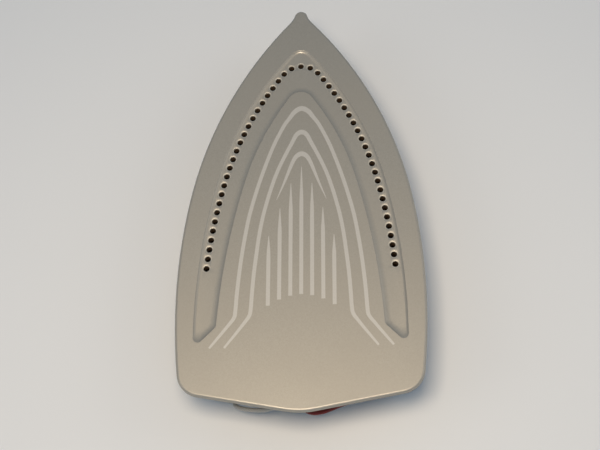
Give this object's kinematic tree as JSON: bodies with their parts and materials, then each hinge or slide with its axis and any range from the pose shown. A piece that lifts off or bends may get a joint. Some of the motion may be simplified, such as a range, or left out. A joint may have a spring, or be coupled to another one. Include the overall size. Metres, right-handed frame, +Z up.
{
  "type": "iron soleplate",
  "caption": "Heated soleplate unit of a steam iron: coated die-cast plate with a horseshoe recess and steam holes, hairpin heater, steam chamber lid and heat control on its back.",
  "frame": {"origin": "centre of the outline on the plane where the cast posts stand", "axes": "+X to the right seen from the heel, +Y to the nose, +Z up out of the sole face"},
  "size_m": [0.1192, 0.2168, 0.036],
  "materials": {
    "sole_coat": "satin metallic ceramic coat on the face, bare cast aluminium on the back",
    "heater_sheath": "drawn tube, heat-dulled",
    "white_ceramic": "unglazed",
    "plated_steel": "zinc plated",
    "lid_sheet": "pressed sheet",
    "red_silicone": "matt",
    "grey_silicone": "matt braided sleeve",
    "brass": "stamped",
    "bimetal": "rolled",
    "silver": "contact silver"
  },
  "bodies": {
    "base": {"sole_casting": "sole_coat", "heating_element": "heater_sheath", "left_end_bead": "white_ceramic", "left_heater_pin": "plated_steel", "right_end_bead": "white_ceramic", "right_heater_pin": "plated_steel", "chamber_seal": "red_silicone", "chamber_lid": "lid_sheet", "drip_grommet": "red_silicone", "lid_screws": "plated_steel", "control_foot": "plated_steel", "bimetal_strip": "bimetal", "first_insulator": "white_ceramic", "second_insulator": "white_ceramic", "third_insulator": "white_ceramic", "fourth_insulator": "white_ceramic", "moving_blade": "brass", "fixed_blade": "brass", "neutral_tab": "brass", "moving_contact": "silver", "fixed_contact": "silver", "actuator_pin": "white_ceramic", "stack_sleeve": "white_ceramic", "stack_rivet": "plated_steel", "adjuster_plate": "plated_steel", "adjuster_bush": "brass", "control_screws": "plated_steel", "thermal_fuse": "silver", "fuse_clip": "plated_steel", "fuse_clip_screw": "plated_steel", "left_pin_connector": "brass", "right_pin_connector": "brass", "grey_lead": "grey_silicone", "red_lead": "red_silicone", "red_lead_receptacle": "brass", "earth_tab": "plated_steel", "earth_screw": "plated_steel"},
    "adjuster": {"adjuster_spindle": "plated_steel"}
  },
  "joints": [
    {"name": "adjuster_turn", "type": "hinge", "parent": "base", "child": "adjuster", "pos_m": [0, -0.0655, 0.01], "axis": [0, 0, 1], "range_deg": [0, 290]}
  ]
}
